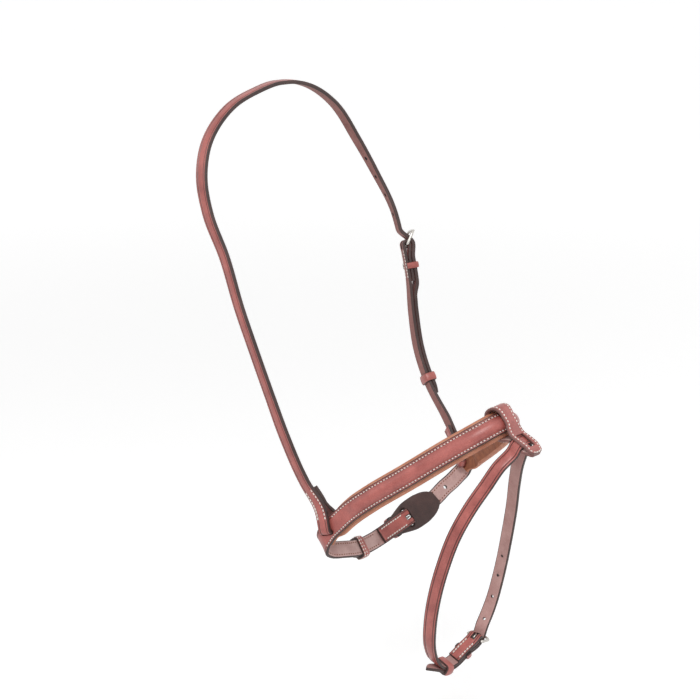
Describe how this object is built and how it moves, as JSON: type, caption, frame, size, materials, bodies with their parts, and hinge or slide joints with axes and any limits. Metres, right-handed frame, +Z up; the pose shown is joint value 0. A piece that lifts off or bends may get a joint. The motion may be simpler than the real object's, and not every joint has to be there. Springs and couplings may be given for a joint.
{
  "type": "round noseband with flash strap",
  "caption": "Round raised leather noseband with padded lining, chin guard, long sliphead, cheek buckle and a flash strap held by a sewn loop.",
  "frame": {"origin": "middle of the sliphead's underside, where it rests on the poll", "axes": "+Z up, the horse looks along -Y, +X towards the cheek buckle's side"},
  "size_m": [0.2469, 0.3114, 0.5178],
  "materials": {
    "sliphead_strap": "waxed grain",
    "cheek_strap": "waxed grain",
    "cheek_fixed_keeper": "waxed grain",
    "cheek_runner_keeper": "waxed grain",
    "noseband_strap": "waxed grain",
    "backing_strip": "waxed grain",
    "chin_fixed_keeper": "waxed grain",
    "chin_runner_keeper": "waxed grain",
    "flash_loop": "waxed grain",
    "flash_strap": "waxed grain",
    "flash_fixed_keeper": "waxed grain",
    "flash_runner_keeper": "waxed grain",
    "cheek_buckle_frame": "polished",
    "cheek_buckle_tongue": "polished",
    "chin_buckle_frame": "polished",
    "chin_buckle_tongue": "polished",
    "flash_buckle_frame": "polished",
    "flash_buckle_tongue": "polished",
    "filler_cord": "matt felt cord",
    "lining_skin": "soft, matt",
    "lining_foam": "open cell",
    "chin_guard": "soft, matt"
  },
  "bodies": {
    "sliphead": {"sliphead_strap": "sliphead_strap", "cheek_strap": "cheek_strap", "cheek_fixed_keeper": "cheek_fixed_keeper"},
    "cheek_buckle": {"cheek_buckle_frame": "cheek_buckle_frame"},
    "cheek_tongue": {"cheek_buckle_tongue": "cheek_buckle_tongue"},
    "cheek_runner": {"cheek_runner_keeper": "cheek_runner_keeper"},
    "noseband": {"noseband_strap": "noseband_strap", "backing_strip": "backing_strip", "filler_cord": "filler_cord", "lining_skin": "lining_skin", "lining_foam": "lining_foam", "chin_guard": "chin_guard", "chin_fixed_keeper": "chin_fixed_keeper"},
    "chin_buckle": {"chin_buckle_frame": "chin_buckle_frame"},
    "chin_tongue": {"chin_buckle_tongue": "chin_buckle_tongue"},
    "chin_runner": {"chin_runner_keeper": "chin_runner_keeper"},
    "loop": {"flash_loop": "flash_loop"},
    "flash": {"flash_strap": "flash_strap", "flash_fixed_keeper": "flash_fixed_keeper"},
    "flash_buckle": {"flash_buckle_frame": "flash_buckle_frame"},
    "flash_tongue": {"flash_buckle_tongue": "flash_buckle_tongue"},
    "flash_runner": {"flash_runner_keeper": "flash_runner_keeper"}
  },
  "joints": [
    {"name": "noseband_nod", "type": "hinge", "parent": "sliphead", "child": "noseband", "pos_m": [-0.00166, -0.15538, -0.36279], "axis": [0.9945, -0.0309, 0.0997], "range_deg": [-3, 3]},
    {"name": "loop_slide", "type": "slide", "parent": "noseband", "child": "loop", "axis": [0.9993, 0.0367, 0.0093], "range_m": [-0.0005, 0.0005]},
    {"name": "flash_swing", "type": "hinge", "parent": "loop", "child": "flash", "pos_m": [0.00083, -0.28962, -0.27778], "axis": [0.9993, 0.0367, 0.0093], "range_deg": [-2.4, 2.4]},
    {"name": "cheek_frame_turn", "type": "hinge", "parent": "sliphead", "child": "cheek_buckle", "pos_m": [0.11911, -0.04862, -0.16269], "axis": [-0.532, -0.8029, 0.2688], "range_deg": [0, 4]},
    {"name": "cheek_tongue_lift", "type": "hinge", "parent": "cheek_buckle", "child": "cheek_tongue", "pos_m": [0.11911, -0.04862, -0.16269], "axis": [0.532, 0.8029, -0.2688], "range_deg": [0, 5]},
    {"name": "cheek_runner_slide", "type": "slide", "parent": "sliphead", "child": "cheek_runner", "axis": [-0.0666, -0.556, -0.8285], "range_m": [-0.0005, 0.0005]},
    {"name": "chin_frame_turn", "type": "hinge", "parent": "noseband", "child": "chin_buckle", "pos_m": [0.01999, -0.14152, -0.39739], "axis": [0.1473, -0.6455, -0.7494], "range_deg": [0, 4]},
    {"name": "chin_tongue_lift", "type": "hinge", "parent": "chin_buckle", "child": "chin_tongue", "pos_m": [0.01999, -0.14152, -0.39739], "axis": [-0.1473, 0.6455, 0.7494], "range_deg": [0, 5]},
    {"name": "chin_runner_slide", "type": "slide", "parent": "noseband", "child": "chin_runner", "axis": [-0.9839, -0.1211, 0.1317], "range_m": [-0.0005, 0.0005]},
    {"name": "flash_frame_turn", "type": "hinge", "parent": "flash", "child": "flash_buckle", "pos_m": [0.02078, -0.22804, -0.49061], "axis": [0.1153, -0.9676, -0.2245], "range_deg": [0, 4]},
    {"name": "flash_tongue_lift", "type": "hinge", "parent": "flash_buckle", "child": "flash_tongue", "pos_m": [0.02078, -0.22804, -0.49061], "axis": [-0.1153, 0.9676, 0.2245], "range_deg": [0, 5]},
    {"name": "flash_runner_slide", "type": "slide", "parent": "flash", "child": "flash_runner", "axis": [-0.9903, 0.0406, 0.1329], "range_m": [-0.0005, 0.0005]}
  ]
}
